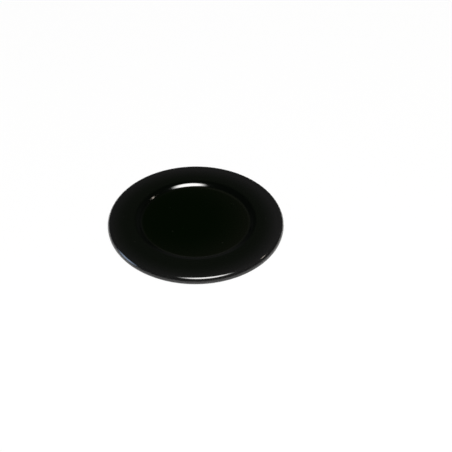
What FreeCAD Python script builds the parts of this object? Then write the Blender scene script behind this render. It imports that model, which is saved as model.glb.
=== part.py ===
"""Gas burner cap: one enamelled steel pressing with a dished middle, a crowned ring and a turned-down rim.

The cap is a body of revolution about +Z. It stands on the foot of its rim, and the origin is the
middle of that foot. The dish pressed into the top stands out below as a boss, which centres the cap
in the burner head, and the flat underside of the ring between boss and rim seats on the head.
"""

import FreeCAD
import Part
import Sketcher

import math
import os

NODE = "burner_cap"

# Driving dimensions in millimetres and degrees: alias, value, what it measures.
SIZES = [
    ("cap_diameter", 100.0, "across the outer wall of the rim"),
    ("sheet_thickness", 2.2, "steel and enamel together, in dish floor, dish wall and rim"),
    ("crown_drop", 0.5, "fall of the ring's top from the lip to where the rim's rounding starts"),
    ("dish_diameter", 61.5, "across the flat floor of the dish, to the corner with its wall"),
    ("dish_depth", 2.3, "from the top of the ring down to the floor of the dish"),
    ("dish_wall_angle", 40.0, "slope of the dish wall above the horizontal"),
    ("boss_lift", 0.5, "height of the boss above the surface that the rim stands on"),
    ("lip_round", 5.0, "rounding of the lip, where dish wall and ring meet"),
    ("rim_round", 3.0, "rounding of the shoulder, where the ring turns down into the rim"),
    ("rim_foot_round", 1.2, "rounding of the rim's outer corner at its foot"),
    ("rim_foot_chamfer", 0.3, "broken edge of the rim's inner corner at its foot"),
    ("dish_foot_round", 2.7, "rounding where the dish wall meets its floor"),
]

# Numbers by which a sketch knows the points of an edge, and its own two axes.
START, END, CENTRE = range(1, 4)
VERTICAL_AXIS, HORIZONTAL_AXIS = range(-2, 0)


def add_sheet(doc):
    """The spreadsheet of driving dimensions, one row each, the value's cell named by its alias."""
    sheet = doc.addObject("Spreadsheet::Sheet", "Sizes")
    for row, (alias, value, meaning) in enumerate(SIZES, start=1):
        sheet.set(f"A{row}", alias)
        sheet.set(f"B{row}", str(value))
        sheet.setAlias(f"B{row}", alias)
        sheet.set(f"C{row}", meaning)
    doc.recompute()
    return sheet


def section_points(sheet):
    """The points of half the section as (radius, height), in order round its outline.

    The sketch is drawn through them and then solved, so its own constraints hold every size.
    """
    thickness = sheet.sheet_thickness
    slope = math.radians(sheet.dish_wall_angle)
    outer_radius = sheet.cap_diameter / 2
    dish_radius = sheet.dish_diameter / 2
    floor_height = sheet.boss_lift + thickness
    top_height = floor_height + sheet.dish_depth
    shoulder_height = top_height - sheet.crown_drop
    seat_height = shoulder_height - thickness
    lip_start_height = top_height - sheet.lip_round * (1 - math.cos(slope))
    lip_start_radius = dish_radius + (lip_start_height - floor_height) / math.tan(slope)
    lip_end_radius = lip_start_radius + sheet.lip_round * math.sin(slope)
    boss_radius = dish_radius + thickness * math.tan(slope / 2)
    boss_root_radius = boss_radius + (seat_height - sheet.boss_lift) / math.tan(slope)
    return {
        "floor middle": (0, floor_height),
        "dish foot": (dish_radius, floor_height),
        "lip start": (lip_start_radius, lip_start_height),
        "lip end": (lip_end_radius, top_height),
        "shoulder start": (outer_radius - sheet.rim_round, shoulder_height),
        "shoulder end": (outer_radius, shoulder_height - sheet.rim_round),
        "outer foot": (outer_radius, 0),
        "inner foot": (outer_radius - thickness, 0),
        "seat edge": (outer_radius - thickness, seat_height),
        "boss root": (boss_root_radius, seat_height),
        "boss edge": (boss_radius, sheet.boss_lift),
        "boss middle": (0, sheet.boss_lift),
    }


def arc_between(start, end, radius):
    """The arc that turns clockwise from start to end, which a sketch keeps from its far end back."""
    middle = (FreeCAD.Vector(*start, 0) + FreeCAD.Vector(*end, 0)) / 2
    chord = FreeCAD.Vector(*end, 0) - FreeCAD.Vector(*start, 0)
    upward = FreeCAD.Vector(-chord.y, chord.x, 0).normalize()
    centre = middle - upward * math.sqrt(radius**2 - (chord.Length / 2) ** 2)
    angles = [math.atan2(y - centre.y, x - centre.x) for x, y in (end, start)]
    return Part.ArcOfCircle(Part.Circle(centre, FreeCAD.Vector(0, 0, 1), radius), *angles)


def add_section(body, sheet):
    """Half the section as a closed sketch on the XZ plane, held by the sizes in the sheet."""
    sketch = body.newObject("Sketcher::SketchObject", "Section")
    plane = next(feature for feature in body.Origin.OriginFeatures if feature.Role == "XZ_Plane")
    sketch.AttachmentSupport = [(plane, "")]
    sketch.MapMode = "FlatFace"

    points = section_points(sheet)
    crown_width = points["shoulder start"][0] - points["lip end"][0]
    arc_radii = {
        "lip start": sheet.lip_round,
        "lip end": (crown_width**2 + sheet.crown_drop**2) / (2 * sheet.crown_drop),
        "shoulder start": sheet.rim_round,
    }

    # One edge from each point to the next, named by the point that it leaves.
    names = list(points)
    edges, leaves, arrives = {}, {}, {}
    for name, next_name in zip(names, names[1:] + names[:1]):
        ends = (points[name], points[next_name])
        if name in arc_radii:
            edges[name] = sketch.addGeometry(arc_between(*ends, arc_radii[name]))
            leaves[name] = (edges[name], END)
            arrives[next_name] = (edges[name], START)
        else:
            line = Part.LineSegment(*(FreeCAD.Vector(*end, 0) for end in ends))
            edges[name] = sketch.addGeometry(line)
            leaves[name] = (edges[name], START)
            arrives[next_name] = (edges[name], END)

    def hold(kind, *places):
        return sketch.addConstraint(Sketcher.Constraint(kind, *places))

    def measure(expression, kind, *places):
        sketch.setExpression(f"Constraints[{hold(kind, *places)}]", expression)

    def across(expression, name, other):
        measure(expression, "DistanceX", *leaves[name], *leaves[other], points[other][0] - points[name][0])

    def upward(expression, name, other):
        measure(expression, "DistanceY", *leaves[name], *leaves[other], points[other][1] - points[name][1])

    smooth = ("lip start", "lip end", "shoulder start", "shoulder end")
    for name in names:
        hold("Tangent" if name in smooth else "Coincident", *arrives[name], *leaves[name])
    for name in ("floor middle", "outer foot", "seat edge", "boss edge"):
        hold("Horizontal", edges[name])
    for name in ("shoulder end", "inner foot"):
        hold("Vertical", edges[name])
    for name in ("floor middle", "boss middle"):
        hold("PointOnObject", *leaves[name], VERTICAL_AXIS)
    hold("PointOnObject", *leaves["outer foot"], HORIZONTAL_AXIS)
    hold("Parallel", edges["dish foot"], edges["boss root"])
    # The ring is level where it leaves the lip, so lip and crown have their centres in one upright line.
    hold("Vertical", edges["lip start"], CENTRE, edges["lip end"], CENTRE)

    across("Sizes.cap_diameter / 2", "boss middle", "outer foot")
    across("Sizes.dish_diameter / 2", "floor middle", "dish foot")
    across("Sizes.sheet_thickness", "inner foot", "outer foot")
    upward("Sizes.sheet_thickness", "boss middle", "floor middle")
    upward("Sizes.sheet_thickness", "seat edge", "shoulder start")
    upward("Sizes.boss_lift", "outer foot", "boss middle")
    upward("Sizes.dish_depth", "dish foot", "lip end")
    upward("Sizes.crown_drop", "shoulder start", "lip end")
    slope = math.radians(sheet.dish_wall_angle)
    measure("Sizes.dish_wall_angle * 1 deg", "Angle", edges["dish foot"], slope)
    wall = (*leaves["boss edge"], edges["dish foot"])
    measure("Sizes.sheet_thickness", "Distance", *wall, sheet.sheet_thickness)
    measure("Sizes.lip_round", "Radius", edges["lip start"], sheet.lip_round)
    measure("Sizes.rim_round", "Radius", edges["shoulder start"], sheet.rim_round)
    return sketch


def add_turning(body, sketch):
    """The section turned once about the cap's axis."""
    turning = body.newObject("PartDesign::Revolution", "Pressing")
    turning.Profile = sketch
    turning.ReferenceAxis = (sketch, ["V_Axis"])
    turning.Angle = 360
    body.Document.recompute()
    return turning


def ring_edge(shape, radius, height):
    """The name of the shape's circular edge about the axis at this corner of the section."""
    for number, edge in enumerate(shape.Edges, start=1):
        if isinstance(edge.Curve, Part.Circle):
            misses = (edge.Curve.Radius - radius, edge.Curve.Center.z - height)
            if math.hypot(*misses) < Part.Precision.approximation() * radius:
                return f"Edge{number}"
    raise RuntimeError(f"no ring edge at radius {radius:.3f}, height {height:.3f}")


def finish_corner(body, base, kind, name, corner, size, expression):
    """A fillet or chamfer, of a size from the sheet, along the ring edge at one corner."""
    feature = body.newObject(f"PartDesign::{kind}", name)
    feature.Base = (base, [ring_edge(base.Shape, *corner)])
    feature.setExpression(size, expression)
    body.Document.recompute()
    return feature


def add_cap(doc, sheet):
    """The cap: the turned section, then the bend of the dish and the broken edges of the rim's foot."""
    body = doc.addObject("PartDesign::Body", "Cap")
    body.Label = NODE
    feature = add_turning(body, add_section(body, sheet))
    points = section_points(sheet)
    # The outside of the dish's bend is cut back flat between the ends of its arc.
    outside_bend = "(Sizes.dish_foot_round + Sizes.sheet_thickness) * tan(Sizes.dish_wall_angle * 0.5 deg)"
    corners = [
        ("Fillet", "DishFoot", "dish foot", "Radius", "Sizes.dish_foot_round"),
        ("Chamfer", "BossEdge", "boss edge", "Size", outside_bend),
        ("Fillet", "RimFootOutside", "outer foot", "Radius", "Sizes.rim_foot_round"),
        ("Chamfer", "RimFootInside", "inner foot", "Size", "Sizes.rim_foot_chamfer"),
    ]
    for kind, name, place, size, expression in corners:
        feature = finish_corner(body, feature, kind, name, points[place], size, expression)
    return body


def check(doc, body):
    """Stop if an object failed, the sketch is loose, or the cap isn't one sound solid."""
    for item in doc.Objects:
        if "Invalid" in item.State or "Error" in item.State:
            raise RuntimeError(f"{item.Name} failed: {item.State}")
    section = doc.getObject("Section")
    if section.solve() != 0 or not section.FullyConstrained:
        raise RuntimeError("the section's sketch isn't fully held by its sizes")
    shape = body.Shape
    if shape.isNull() or not shape.isValid() or len(shape.Solids) != 1:
        raise RuntimeError(f"{body.Label} isn't one valid solid")


def main():
    doc = FreeCAD.newDocument("GasBurnerCap")
    sheet = add_sheet(doc)
    body = add_cap(doc, sheet)
    check(doc, body)
    os.makedirs("parts", exist_ok=True)
    body.Shape.exportStep(f"parts/{body.Label}.step")
    box = body.Shape.optimalBoundingBox()
    sides = " x ".join(f"{side:.2f}" for side in (box.XLength, box.YLength, box.ZLength))
    print(f"{body.Label}: {sides} mm, from z {box.ZMin:.3f}, volume {body.Shape.Volume / 1000:.2f} cm3")


main()
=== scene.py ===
import math
from typing import NamedTuple

import bpy
from bpy.props import FloatProperty, FloatVectorProperty, IntProperty, PointerProperty
from mathutils import Matrix, Vector


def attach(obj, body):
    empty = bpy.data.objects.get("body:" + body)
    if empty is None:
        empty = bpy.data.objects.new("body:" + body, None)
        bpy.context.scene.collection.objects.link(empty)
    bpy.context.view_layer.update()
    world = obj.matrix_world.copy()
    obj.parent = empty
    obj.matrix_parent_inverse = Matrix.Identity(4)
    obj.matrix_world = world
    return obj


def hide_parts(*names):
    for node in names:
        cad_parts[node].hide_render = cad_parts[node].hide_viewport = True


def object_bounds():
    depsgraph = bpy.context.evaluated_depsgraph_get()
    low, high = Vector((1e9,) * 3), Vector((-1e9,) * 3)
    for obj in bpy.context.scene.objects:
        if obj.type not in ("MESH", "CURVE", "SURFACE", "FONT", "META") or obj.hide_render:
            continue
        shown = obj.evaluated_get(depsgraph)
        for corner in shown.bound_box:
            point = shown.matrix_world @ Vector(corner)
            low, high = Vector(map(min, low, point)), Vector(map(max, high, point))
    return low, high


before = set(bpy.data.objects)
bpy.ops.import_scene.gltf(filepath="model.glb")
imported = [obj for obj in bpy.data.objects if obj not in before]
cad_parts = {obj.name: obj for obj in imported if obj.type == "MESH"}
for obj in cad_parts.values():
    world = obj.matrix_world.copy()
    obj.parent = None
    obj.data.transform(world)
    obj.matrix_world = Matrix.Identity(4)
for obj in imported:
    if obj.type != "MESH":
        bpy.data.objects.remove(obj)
CAD_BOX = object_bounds()

bl_info = {
    "name": "Gas burner cap",
    "version": (1, 0, 0),
    "blender": (4, 5, 0),
    "location": "3D View > Sidebar > Burner cap",
    "description": "Presses an enamelled gas burner cap and sets it on a pale studio floor",
    "category": "Object",
}

MM = 0.001
NODE = "burner_cap"
CAD_WIDTH = CAD_BOX[1].x - CAD_BOX[0].x
CAD_HEIGHT = CAD_BOX[1].z - CAD_BOX[0].z


def linear(hex_code):
    """An sRGB hex colour as the linear red, green and blue that shaders take."""
    parts = (int(hex_code[i:i + 2], 16) / 255 for i in (1, 3, 5))
    return [c / 12.92 if c <= 0.04045 else ((c + 0.055) / 1.055) ** 2.4 for c in parts]


def add_node(tree, kind, inputs=(), **settings):
    """A node with its settings, and its inputs given as values or as the sockets that feed them."""
    node = tree.nodes.new(kind)
    for name, value in settings.items():
        setattr(node, name, value)
    for place, value in dict(inputs).items():
        if isinstance(value, bpy.types.NodeSocket):
            tree.links.new(value, node.inputs[place])
        else:
            node.inputs[place].default_value = value
    return node


def size_property(label, description, millimetres):
    """A length, given in millimetres."""
    length = millimetres * MM
    return FloatProperty(name=label, description=description, default=length, unit="LENGTH", min=0)


def angle_property(label, description, degrees):
    """An angle, given in degrees."""
    angle = math.radians(degrees)
    return FloatProperty(name=label, description=description, default=angle, subtype="ANGLE")


def share_property(label, description, share):
    """A share of a whole."""
    return FloatProperty(name=label, description=description, default=share, subtype="FACTOR")


def colour_property(label, description, hex_code):
    """A colour, given as an sRGB hex value."""
    colour = linear(hex_code)
    return FloatVectorProperty(name=label, description=description, default=colour, subtype="COLOR")


def count_property(label, description, count, fewest):
    """A whole number of steps."""
    return IntProperty(name=label, description=description, default=count, min=fewest)


class CapSizes(bpy.types.PropertyGroup):
    """Sizes of the pressing, the same as those of the solid that it stands for."""

    cap_diameter: size_property("Diameter", "Across the rim", CAD_WIDTH / MM)
    cap_height: size_property("Height", "From the rim's foot to the ring's top", CAD_HEIGHT / MM)
    sheet_thickness: size_property("Sheet", "Steel and enamel together", 2.2)
    crown_drop: size_property("Crown drop", "Fall of the ring from the lip to the rim's rounding", 0.5)
    dish_diameter: size_property("Dish", "Across the dish floor, to the corner with its wall", 61.5)
    dish_depth: size_property("Dish depth", "From the ring's top down to the dish floor", 2.3)
    dish_wall_angle: angle_property("Dish wall", "Slope of the dish wall", 40.0)
    lip_round: size_property("Lip rounding", "Where dish wall and ring meet", 5.0)
    rim_round: size_property("Shoulder rounding", "Where the ring turns down into the rim", 3.0)
    rim_foot_round: size_property("Foot rounding", "The rim's outer corner at its foot", 1.2)
    inner_foot_round: size_property("Inner foot rounding", "The rim's inner corner at its foot", 0.35)
    dish_foot_round: size_property("Dish foot rounding", "Where the dish wall meets its floor", 2.7)
    seat_round: size_property("Seat rounding", "Enamel gathered in the corners beside the seat", 0.5)
    turn_steps: count_property("Turn steps", "Facets round the cap", 360, 24)
    arc_steps: count_property("Arc steps", "Points added along each rounding", 14, 1)


class EnamelLook(bpy.types.PropertyGroup):
    """Colours and gloss of the fired enamel, painted reflection and glare among its colours."""

    # The enamel's own black, left where no other colour lies over it.
    pooled: colour_property("Pooled", "Deepest coat, where it gathered in the dish", "#010600")
    # Painted reflection: the dish floor grows paler away from its darkest place.
    painted_dish_sheen: colour_property("Shallow", "Coat towards the wall of the dish", "#0a0c07")
    # Painted reflection: a paler line at the foot of the dish wall.
    bend: colour_property("Bend", "Coat drawn thin in the bend at the foot of the dish wall", "#0f110c")
    wall: colour_property("Wall", "Coat on the dish wall", "#030503")
    ring: colour_property("Ring", "Coat on the ring beside the dish", "#090c08")
    # Painted glare and reflection: the ring grows paler towards the shoulder, most on the far right.
    edge: colour_property("Edge", "Coat drawn thin over the shoulder", "#181818")
    ground: colour_property("Ground coat", "First coat, left bare on the underside", "#121317")
    speck: colour_property("Specks", "Pinholes", "#2a2b28")
    # Shift of the dish's darkest place, the middle of the painted reflection.
    dish_sheen_shift: size_property("Gather", "How far from the middle of the dish the coat lies deepest", 8.0)
    # Shift of the middle of the painted glare on the ring.
    rim_glare_shift: size_property("Run", "How far the coat on the ring ran to one side as it was fired", 3.0)
    glaze: share_property("Glaze", "Share of the clear top layer on the ring and in the dish", 0.38)
    rim_glaze: share_property("Rim glaze", "Share of the clear top layer on the wall of the rim", 0.16)
    glaze_gloss: share_property("Glaze roughness", "Roughness of the clear top layer", 0.05)
    gloss: share_property("Roughness", "Roughness of the cover coat", 0.1)
    ground_gloss: share_property("Ground roughness", "Roughness of the ground coat", 0.38)


class StageLook(bpy.types.PropertyGroup):
    """Floor and camera."""

    card: colour_property("Card", "Pale satin card of the floor", "#f7f7f7")
    card_glow: share_property("Card glow", "Share of the card that is seen as plain white", 0.92)
    card_mirrored: share_property("Card mirrored", "Share that is mirrored as plain white", 0.15)
    card_gloss: share_property("Card roughness", "Roughness of the card", 0.12)
    camera_distance: size_property("Camera distance", "From lens to cap", 800.0)
    camera_elevation: angle_property("Camera elevation", "Height of the view", 40.62)
    camera_roll: angle_property("Camera roll", "Turn of the camera about its line of sight", 0.33)
    aim_height: size_property("Aim height", "Where the view meets the cap's axis", 2.5)
    view_width: size_property("View width", "Width of the picture at the cap", 256.8)
    shift_right: share_property("Shift right", "How far the picture lies right of the cap", 0.067)
    shift_up: share_property("Shift up", "How far the picture lies above the cap", -0.0096)


# Rounds of the search for the place where crown and shoulder meet, which settles after a few.
CROWN_ROUNDS = 12

# The crown's rounding is kept just short, so that its arc ends clear of the arcs beside it.
CROWN_SHARE = 0.99

# Points closer than this become one: the two sides of the seam, and the ends on the axis.
WELD_DISTANCE = 0.0005 * MM


def section_corners(sizes):
    """The sharp corners of half the section, from the middle of the dish to the middle of the boss.

    Each has its place, as (radius, 0, height), and the radius that rounds it.
    """
    sheet = sizes.sheet_thickness
    outer = sizes.cap_diameter / 2
    inner = outer - sheet
    dish = sizes.dish_diameter / 2
    top = sizes.cap_height
    floor = top - sizes.dish_depth
    seat = top - sizes.crown_drop - sheet
    slope = math.tan(sizes.dish_wall_angle)
    half_slope = math.tan(sizes.dish_wall_angle / 2)
    lip = dish + sizes.dish_depth / slope
    boss = dish + sheet * half_slope
    boss_foot = floor - sheet
    boss_root = boss + (seat - boss_foot) / slope

    # The crown's arc leaves the lip level, and turns until it meets the shoulder's arc.
    ring_start = lip + sizes.lip_round * half_slope
    turn = 0.0
    for _ in range(CROWN_ROUNDS):
        ring_end = outer - sizes.rim_round * (1 - math.sin(turn))
        turn = 2 * math.atan(sizes.crown_drop / (ring_end - ring_start))
    crown_round = sizes.crown_drop / (1 - math.cos(turn))
    crown = ring_start + crown_round * math.tan(turn / 2)
    shoulder = top - (outer - crown) * math.tan(turn)

    return {
        "Floor middle": ((0, 0, floor), 0),
        "Dish foot": ((dish, 0, floor), sizes.dish_foot_round),
        "Lip": ((lip, 0, top), sizes.lip_round),
        "Crown": ((crown, 0, top), crown_round * CROWN_SHARE),
        "Shoulder": ((outer, 0, shoulder), sizes.rim_round),
        "Outer foot": ((outer, 0, 0), sizes.rim_foot_round),
        "Inner foot": ((inner, 0, 0), sizes.inner_foot_round),
        "Seat edge": ((inner, 0, seat), sizes.seat_round),
        "Boss root": ((boss_root, 0, seat), sizes.seat_round),
        "Boss edge": ((boss, 0, boss_foot), sizes.dish_foot_round + sheet),
        "Boss middle": ((0, 0, boss_foot), 0),
    }


def pressing_tree(corners):
    """Node tree that rounds the named corners of a section and turns it about the upright axis."""
    tree = bpy.data.node_groups.new("Pressing", "GeometryNodeTree")
    tree.is_modifier = True
    sockets = tree.interface
    for name in corners:
        sockets.new_socket(f"{name} place", in_out="INPUT", socket_type="NodeSocketVector")
        sockets.new_socket(f"{name} rounding", in_out="INPUT", socket_type="NodeSocketFloat")
    sockets.new_socket("Arc steps", in_out="INPUT", socket_type="NodeSocketInt")
    sockets.new_socket("Turn steps", in_out="INPUT", socket_type="NodeSocketInt")
    sockets.new_socket("Cover coat", in_out="INPUT", socket_type="NodeSocketMaterial")
    sockets.new_socket("Pressing", in_out="OUTPUT", socket_type="NodeSocketGeometry")
    given = tree.nodes.new("NodeGroupInput").outputs

    # The section: a line of points, each put at its corner, then rounded.
    index = add_node(tree, "GeometryNodeInputIndex").outputs[0]
    by_corner = {}
    for kind, data_type in (("place", "VECTOR"), ("rounding", "FLOAT")):
        switch = add_node(tree, "GeometryNodeIndexSwitch", data_type=data_type)
        while len(switch.index_switch_items) < len(corners):
            switch.index_switch_items.new()
        tree.links.new(index, switch.inputs["Index"])
        for number, name in enumerate(corners):
            tree.links.new(given[f"{name} {kind}"], switch.inputs[str(number)])
        by_corner[kind] = switch.outputs[0]
    line = add_node(tree, "GeometryNodeMeshLine", {"Count": len(corners)})
    placed = add_node(
        tree,
        "GeometryNodeSetPosition",
        {"Geometry": line.outputs[0], "Position": by_corner["place"]},
    )
    curve = add_node(tree, "GeometryNodeMeshToCurve", {"Mesh": placed.outputs[0]})
    rounded = add_node(
        tree,
        "GeometryNodeFilletCurve",
        {"Curve": curve.outputs[0], "Count": given["Arc steps"], "Radius": by_corner["rounding"]},
        mode="POLY",
    )
    outline = add_node(tree, "GeometryNodeCurveToMesh", {"Curve": rounded.outputs[0]}).outputs[0]

    # The turning: a grid whose rows are the section's points and whose columns go round.
    points = add_node(tree, "GeometryNodeAttributeDomainSize", {"Geometry": outline}, component="MESH")
    steps = given["Turn steps"]
    columns = add_node(tree, "FunctionNodeIntegerMath", {0: steps, 1: 1}, operation="ADD").outputs[0]
    grid = add_node(
        tree,
        "GeometryNodeMeshGrid",
        {"Vertices X": points.outputs["Point Count"], "Vertices Y": columns},
    )
    by_columns = {0: index, 1: columns}
    row = add_node(tree, "FunctionNodeIntegerMath", by_columns, operation="DIVIDE_FLOOR")
    column = add_node(tree, "FunctionNodeIntegerMath", by_columns, operation="MODULO")
    share = add_node(tree, "ShaderNodeMath", {0: column.outputs[0], 1: steps}, operation="DIVIDE")
    angle = add_node(tree, "ShaderNodeMath", {0: share.outputs[0], 1: math.tau}, operation="MULTIPLY")
    position = add_node(tree, "GeometryNodeInputPosition").outputs[0]
    section_point = add_node(
        tree,
        "GeometryNodeSampleIndex",
        {"Geometry": outline, "Value": position, "Index": row.outputs[0]},
        data_type="FLOAT_VECTOR",
        domain="POINT",
    )
    turned = add_node(
        tree,
        "ShaderNodeVectorRotate",
        {"Vector": section_point.outputs[0], "Angle": angle.outputs[0]},
        rotation_type="Z_AXIS",
    )
    wrapped = add_node(
        tree,
        "GeometryNodeSetPosition",
        {"Geometry": grid.outputs[0], "Position": turned.outputs[0]},
    )
    closed = add_node(
        tree,
        "GeometryNodeMergeByDistance",
        {"Geometry": wrapped.outputs[0], "Distance": WELD_DISTANCE},
    )
    smooth = add_node(tree, "GeometryNodeSetShadeSmooth", {"Geometry": closed.outputs[0]})
    real = add_node(tree, "GeometryNodeRealizeInstances", {"Geometry": smooth.outputs[0]})
    coated = add_node(
        tree,
        "GeometryNodeSetMaterial",
        {"Geometry": real.outputs[0], "Material": given["Cover coat"]},
    )
    add_node(tree, "NodeGroupOutput", {"Pressing": coated.outputs[0]})
    return tree


# Sides towards which the middles of the painted reflection in the dish and the painted glare on the
# ring are shifted.
DISH_SHEEN_SIDE = Vector((-0.91, 0.42, 0))
RIM_GLARE_SIDE = Vector((-0.55, -0.83, 0))

# Refractive index of the enamel's glass.
ENAMEL_IOR = 1.52

# Pinholes, one to a cell: the width of a cell, and the radius of a hole.
PINHOLE_CELL = 25 * MM
PINHOLE_RADIUS = 0.2 * MM

# Orange peel, the ripple of the molten coat: from crest to crest, and its height.
PEEL_SPACING = 2.5 * MM
PEEL_HEIGHT = 0.003 * MM

# How far the ground coat stays below the dish floor, and reaches past the rim's inner wall.
GROUND_MARGIN = 0.2 * MM


def coat_spans(sizes):
    """Where each layer of colour starts to show and where it is whole, as distances from a named
    centre.
    """
    outer = sizes.cap_diameter / 2
    dish = sizes.dish_diameter / 2
    lip = dish + sizes.dish_depth / math.tan(sizes.dish_wall_angle)
    # The painted reflection line, 0.7 mm outside where the dish floor starts to bend up.
    bend_line = dish - sizes.dish_foot_round * math.tan(sizes.dish_wall_angle / 2) + 0.7 * MM
    bend_start = bend_line - 0.9 * MM
    bend_end = bend_line + 0.9 * MM
    return {
        "painted_dish_sheen": ("dish_sheen_shift", 0.4 * dish, 1.25 * dish),
        "wall": ("axis", bend_start, bend_end),
        "ring": ("axis", lip + 0.2 * MM, lip + 1.5 * MM),
        "bend inside": ("axis", bend_start, bend_line),
        "bend outside": ("axis", bend_end, bend_line),
        "edge": ("rim_glare_shift", 0.74 * outer, 0.955 * outer),
        "rim": ("axis", 0.90 * outer, 0.98 * outer),
    }


def vitreous_enamel(look, sizes):
    """Gloss black vitreous enamel, sprayed on pressed steel and fired.

    The molten glass leaves a mirror-smooth coat that ripples slightly. Its colour is blackest in the
    dish; painted reflection makes it paler towards the dish wall and in a line at the wall's foot, and
    painted glare makes the ring paler towards the shoulder. A few pinholes catch the light. The
    underside keeps only the duller ground coat.
    """
    material = bpy.data.materials.new("gloss_black_vitreous_enamel")
    material.use_nodes = True
    tree = material.node_tree
    shader = tree.nodes["Principled BSDF"]
    place = add_node(tree, "ShaderNodeTexCoord").outputs["Object"]
    height = add_node(tree, "ShaderNodeSeparateXYZ", {0: place}).outputs["Z"]
    level = {0: place, 1: (1, 1, 0)}
    flat = add_node(tree, "ShaderNodeVectorMath", level, operation="MULTIPLY").outputs[0]

    # How far each layer shows, by the distance from the axis, or from the shifted middles of the
    # painted reflection and glare.
    centres = {"axis": (0, 0, 0), "dish_sheen_shift": DISH_SHEEN_SIDE * look.dish_sheen_shift, "rim_glare_shift": RIM_GLARE_SIDE * look.rim_glare_shift}
    distance = {}
    for name, centre in centres.items():
        apart = add_node(tree, "ShaderNodeVectorMath", {0: flat, 1: centre}, operation="DISTANCE")
        distance[name] = apart.outputs["Value"]
    shown = {}
    for name, (centre, start, end) in coat_spans(sizes).items():
        span = {"Value": distance[centre], "From Min": start, "From Max": end}
        shown[name] = add_node(tree, "ShaderNodeMapRange", span).outputs[0]

    # The painted reflection in the dish and the painted glare on the ring grow slowly at first.
    for name in ("painted_dish_sheen", "edge"):
        slowly = add_node(tree, "ShaderNodeMath", {0: shown[name], 1: 2}, operation="POWER")
        shown[name] = slowly.outputs[0]

    # The paler line at the bend is painted reflection, lost where the dish beside it is darkest.
    sheen_enough = {"Value": shown["painted_dish_sheen"], "From Min": 0.12, "From Max": 0.45}
    shown["bend"] = add_node(tree, "ShaderNodeMapRange", sheen_enough).outputs[0]
    for side in ("bend inside", "bend outside"):
        factors = {0: shown["bend"], 1: shown[side]}
        shown["bend"] = add_node(tree, "ShaderNodeMath", factors, operation="MULTIPLY").outputs[0]

    cells = {"Vector": flat, "Scale": 1 / PINHOLE_CELL}
    from_hole = add_node(tree, "ShaderNodeTexVoronoi", cells, voronoi_dimensions="2D")
    in_hole = {0: from_hole.outputs["Distance"], 1: PINHOLE_RADIUS / PINHOLE_CELL}
    shown["speck"] = add_node(tree, "ShaderNodeMath", in_hole, operation="LESS_THAN").outputs[0]

    # The ground coat is bare on the underside, lower than the dish floor and inside the rim.
    floor = sizes.cap_height - sizes.dish_depth
    inner = sizes.cap_diameter / 2 - sizes.sheet_thickness
    limits = [(height, floor - GROUND_MARGIN), (distance["axis"], inner + GROUND_MARGIN)]
    shown["ground"] = 1.0
    for measure, limit in limits:
        within = add_node(tree, "ShaderNodeMath", {0: measure, 1: limit}, operation="LESS_THAN")
        factors = {0: shown["ground"], 1: within.outputs[0]}
        shown["ground"] = add_node(tree, "ShaderNodeMath", factors, operation="MULTIPLY").outputs[0]

    # Each layer lies over those before it, the painted reflection and glare among them.
    colour = (*look.pooled, 1)
    for name in ("painted_dish_sheen", "wall", "ring", "bend", "edge", "speck", "ground"):
        layers = {"Factor": shown[name], "A": colour, "B": (*getattr(look, name), 1)}
        colour = add_node(tree, "ShaderNodeMix", layers, data_type="RGBA").outputs["Result"]
    tree.links.new(colour, shader.inputs["Base Color"])

    # The ground coat is duller, and the clear top layer draws thin over the shoulder and down the rim.
    finishes = [
        ("Roughness", "ground", look.gloss, look.ground_gloss),
        ("Coat Weight", "rim", look.glaze, look.rim_glaze),
    ]
    for socket, name, elsewhere, there in finishes:
        blend = {"Value": shown[name], "To Min": elsewhere, "To Max": there}
        finish = add_node(tree, "ShaderNodeMapRange", blend)
        tree.links.new(finish.outputs[0], shader.inputs[socket])

    ripples = {"Vector": place, "Scale": 1 / PEEL_SPACING, "Detail": 1.0}
    peel = add_node(tree, "ShaderNodeTexNoise", ripples).outputs[0]
    relief = {"Height": peel, "Strength": 1.0, "Distance": PEEL_HEIGHT}
    bump = add_node(tree, "ShaderNodeBump", relief)
    tree.links.new(bump.outputs["Normal"], shader.inputs["Normal"])
    shader.inputs["IOR"].default_value = ENAMEL_IOR
    shader.inputs["Coat Roughness"].default_value = look.glaze_gloss
    return material


class BURNERCAP_OT_press_cap(bpy.types.Operator):
    """Press the cap from its sizes, coat it and put it in the place of its solid"""

    bl_idname = "burner_cap.press_cap"
    bl_label = "Press cap"

    def execute(self, context):
        sizes = context.scene.burner_cap_sizes
        corners = section_corners(sizes)
        values = {
            "Arc steps": sizes.arc_steps,
            "Turn steps": sizes.turn_steps,
            "Cover coat": vitreous_enamel(context.scene.burner_cap_enamel, sizes),
        }
        for name, (place, rounding) in corners.items():
            values[f"{name} place"] = place
            values[f"{name} rounding"] = rounding
        cap = bpy.data.objects.new("enamelled_cap", bpy.data.meshes.new("enamelled_cap"))
        context.scene.collection.objects.link(cap)
        modifier = cap.modifiers.new("Pressing", "NODES")
        modifier.node_group = pressing_tree(corners)
        for item in modifier.node_group.interface.items_tree:
            if item.in_out == "INPUT":
                modifier[item.identifier] = values[item.name]
        context.view_layer.update()
        pressed = cap.evaluated_get(context.evaluated_depsgraph_get())
        mesh = bpy.data.meshes.new_from_object(pressed)
        if not mesh.polygons:
            raise RuntimeError("the pressing came out empty")
        cap.modifiers.remove(modifier)
        cap.data = mesh
        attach(cap, "root")
        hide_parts(NODE)
        return {"FINISHED"}


# Half the width of the floor, in metres.
FLOOR_REACH = 10.0


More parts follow.
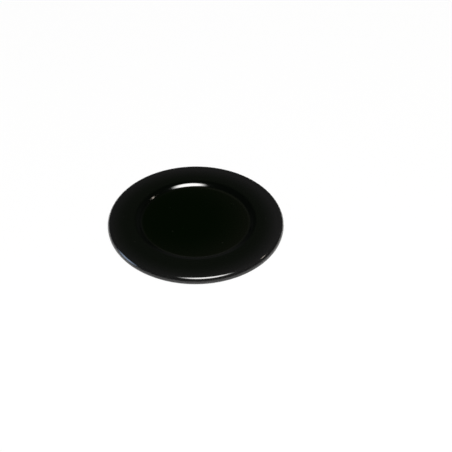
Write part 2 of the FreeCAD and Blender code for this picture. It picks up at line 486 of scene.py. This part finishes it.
def add_floor(context, look):
    """A wide sheet of pale satin card, shown mostly as plain white, that still takes a shadow."""
    corners = [(x * FLOOR_REACH, y * FLOOR_REACH, 0) for x, y in ((-1, -1), (1, -1), (1, 1), (-1, 1))]
    mesh = bpy.data.meshes.new("card_floor")
    mesh.from_pydata(corners, [], [(0, 1, 2, 3)])
    floor = bpy.data.objects.new("card_floor", mesh)
    context.scene.collection.objects.link(floor)

    # Smooth white card: matt from above, and a faint mirror at a low angle.
    material = bpy.data.materials.new("satin_white_card")
    material.use_nodes = True
    tree = material.node_tree
    card = tree.nodes["Principled BSDF"]
    card.inputs["Base Color"].default_value = (*look.card, 1)
    card.inputs["Roughness"].default_value = look.card_gloss

    # How much plain white each kind of ray meets.
    ray = add_node(tree, "ShaderNodeLightPath").outputs
    white_shares = {
        "Is Camera Ray": look.card_glow,
        "Is Transmission Ray": look.card_glow,
        "Is Glossy Ray": look.card_mirrored,
    }
    shown = 0.0
    for kind, share in white_shares.items():
        met = add_node(tree, "ShaderNodeMath", {0: ray[kind], 1: share}, operation="MULTIPLY")
        larger = {0: shown, 1: met.outputs[0]}
        shown = add_node(tree, "ShaderNodeMath", larger, operation="MAXIMUM").outputs[0]
    white = add_node(tree, "ShaderNodeEmission", {"Strength": 1.0}).outputs[0]
    surface = add_node(tree, "ShaderNodeMixShader", {0: shown, 1: card.outputs[0], 2: white})
    tree.links.new(surface.outputs[0], tree.nodes["Material Output"].inputs["Surface"])
    mesh.materials.append(material)


class Lamp(NamedTuple):
    """A soft lamp that faces the cap: brightest in its middle and fading to nothing at its edges.

    Directions are from the cap, and lengths in metres. The core is the share of the lamp, from
    its middle outwards, that is at full strength.
    """

    name: str
    direction: tuple
    lengthwise: tuple
    distance: float
    length: float
    depth: float
    radiance: float
    core: float
    colour: str


LAMPS = [
    Lamp(
        name="overhead_softbox",
        direction=(0.140, -0.454, 0.880),
        lengthwise=(0.971, 0.238, 0.0),
        distance=1.6,
        length=1.48,
        depth=1.05,
        radiance=18.0,
        core=0.42,
        colour="#fffefc",
    ),
    Lamp(
        name="side_lamp",
        direction=(0.792, 0.097, 0.603),
        lengthwise=(0.0, 1.0, 0.0),
        distance=3.2,
        length=0.42,
        depth=0.42,
        radiance=11.4,
        core=0.45,
        colour="#fff1e4",
    ),
    Lamp(
        name="window",
        direction=(-0.988, -0.065, 0.14),
        lengthwise=(0.0, 1.0, 0.0),
        distance=1.6,
        length=1.10,
        depth=0.56,
        radiance=6.1,
        core=0.4,
        colour="#c6deff",
    ),
]


def add_lamps(context):
    """The lamps, each set up round the cap."""
    for lamp in LAMPS:
        light = bpy.data.lights.new(lamp.name, "AREA")
        light.shape = "RECTANGLE"
        light.size = lamp.length
        light.size_y = lamp.depth
        light.color = linear(lamp.colour)
        light.energy = lamp.radiance * math.pi * lamp.length * lamp.depth

        # Places on a lamp run from 0 to 1 each way, so its edges lie 0.5 from its middle.
        light.use_nodes = True
        tree = light.node_tree
        spot = add_node(tree, "ShaderNodeNewGeometry").outputs["Parametric"]
        middle = {0: spot, 1: (0.5, 0.5, 0)}
        off_middle = add_node(tree, "ShaderNodeVectorMath", middle, operation="DISTANCE")
        fading = {
            "Value": off_middle.outputs["Value"],
            "From Min": lamp.core / 2,
            "From Max": 0.5,
            "To Min": 1.0,
            "To Max": 0.0,
        }
        fade = add_node(tree, "ShaderNodeMapRange", fading, interpolation_type="SMOOTHSTEP")
        tree.links.new(fade.outputs[0], tree.nodes["Emission"].inputs["Strength"])

        away = Vector(lamp.direction).normalized()
        along = Vector(lamp.lengthwise)
        along = (along - away * along.dot(away)).normalized()
        turn = Matrix((along, away.cross(along), away)).transposed()
        holder = bpy.data.objects.new(lamp.name, light)
        holder.matrix_world = Matrix.Translation(away * lamp.distance) @ turn.to_4x4()
        context.scene.collection.objects.link(holder)


# The room pales towards the back left, low down: brightness by how far a direction points there.
ROOM_PALEST = (-0.60, 0.60, -0.53)
ROOM = [(0.0, 0.006), (0.2, 0.008), (0.5, 0.01), (0.75, 0.018)]


class PalePlace(NamedTuple):
    """A paler place in the room: which way its middle lies, how fast it fades each way, how bright."""

    middle: tuple
    fading: tuple
    brightness: float


# One straight behind the cap, and one higher up at the back right.
PALE_PLACES = [
    PalePlace(middle=(-0.03, 1.0, 0.15), fading=(4.0, 1.0, 2.2), brightness=0.03),
    PalePlace(middle=(0.52, 0.75, 0.42), fading=(3.0, 1.0, 2.5), brightness=0.02),
]

# Distance from its middle, times its fading, where a pale place starts to fade and where it ends.
PALE_CORE = 0.35
PALE_END = 1.1


def add_world(context):
    """A dim room with a few paler places."""
    world = bpy.data.worlds.new("dim_room")
    context.scene.world = world
    world.use_nodes = True
    tree = world.node_tree
    direction = add_node(tree, "ShaderNodeTexCoord").outputs["Generated"]
    both = {0: direction, 1: ROOM_PALEST}
    towards = add_node(tree, "ShaderNodeVectorMath", both, operation="DOT_PRODUCT")
    ramp = add_node(tree, "ShaderNodeValToRGB", {"Fac": towards.outputs["Value"]})
    stops = ramp.color_ramp.elements
    while len(stops) < len(ROOM):
        stops.new(1.0)
    for stop, (position, brightness) in zip(stops, ROOM):
        stop.position = position
        stop.color = (brightness, brightness, brightness, 1)

    light = ramp.outputs["Color"]
    for pale in PALE_PLACES:
        aside = add_node(
            tree, "ShaderNodeVectorMath", {0: direction, 1: pale.middle}, operation="SUBTRACT"
        ).outputs[0]
        scaled = add_node(
            tree, "ShaderNodeVectorMath", {0: aside, 1: pale.fading}, operation="MULTIPLY"
        ).outputs[0]
        off_middle = add_node(tree, "ShaderNodeVectorMath", {0: scaled}, operation="LENGTH")
        fading = {
            "Value": off_middle.outputs["Value"],
            "From Min": PALE_CORE,
            "From Max": PALE_END,
            "To Min": pale.brightness,
            "To Max": 0.0,
        }
        glow = add_node(tree, "ShaderNodeMapRange", fading, interpolation_type="SMOOTHSTEP")
        sum_of = {0: light, 1: glow.outputs[0]}
        light = add_node(tree, "ShaderNodeMath", sum_of, operation="ADD").outputs[0]
    tree.links.new(light, tree.nodes["Background"].inputs["Color"])


def add_camera(context, look):
    """The photograph's view: from the front and above, with the cap left of the middle."""
    camera = bpy.data.cameras.new("camera")
    camera.lens = camera.sensor_width * look.camera_distance / look.view_width
    camera.shift_x = look.shift_right
    camera.shift_y = look.shift_up
    holder = bpy.data.objects.new("camera", camera)
    elevation = look.camera_elevation
    back = Vector((0, -math.cos(elevation), math.sin(elevation)))
    turn = back.to_track_quat("Z", "Y").to_matrix() @ Matrix.Rotation(-look.camera_roll, 3, "Z")
    place = back * look.camera_distance + Vector((0, 0, look.aim_height))
    holder.matrix_world = Matrix.Translation(place) @ turn.to_4x4()
    context.scene.collection.objects.link(holder)
    context.scene.camera = holder


class BURNERCAP_OT_set_stage(bpy.types.Operator):
    """Lay the card floor and set up the lamps, the room and the camera"""

    bl_idname = "burner_cap.set_stage"
    bl_label = "Set stage"

    def execute(self, context):
        look = context.scene.burner_cap_stage
        add_floor(context, look)
        add_lamps(context)
        add_world(context)
        add_camera(context, look)
        context.scene.view_settings.view_transform = "Standard"
        return {"FINISHED"}


class BURNERCAP_PT_panel(bpy.types.Panel):
    """Sizes, enamel and stage of the burner cap"""

    bl_label = "Burner cap"
    bl_idname = "BURNERCAP_PT_panel"
    bl_space_type = "VIEW_3D"
    bl_region_type = "UI"
    bl_category = "Burner cap"

    def draw(self, context):
        for group in (
            context.scene.burner_cap_sizes,
            context.scene.burner_cap_enamel,
            context.scene.burner_cap_stage,
        ):
            box = self.layout.box()
            for name in group.__annotations__:
                box.prop(group, name)
        self.layout.operator(BURNERCAP_OT_press_cap.bl_idname)
        self.layout.operator(BURNERCAP_OT_set_stage.bl_idname)


CLASSES = [
    CapSizes,
    EnamelLook,
    StageLook,
    BURNERCAP_OT_press_cap,
    BURNERCAP_OT_set_stage,
    BURNERCAP_PT_panel,
]


def register():
    for cls in CLASSES:
        bpy.utils.register_class(cls)
    bpy.types.Scene.burner_cap_sizes = PointerProperty(type=CapSizes)
    bpy.types.Scene.burner_cap_enamel = PointerProperty(type=EnamelLook)
    bpy.types.Scene.burner_cap_stage = PointerProperty(type=StageLook)


def unregister():
    del bpy.types.Scene.burner_cap_stage
    del bpy.types.Scene.burner_cap_enamel
    del bpy.types.Scene.burner_cap_sizes
    for cls in reversed(CLASSES):
        bpy.utils.unregister_class(cls)


def main():
    """Register the classes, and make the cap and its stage."""
    register()
    bpy.ops.burner_cap.press_cap()
    bpy.ops.burner_cap.set_stage()


if __name__ == "__main__":
    main()
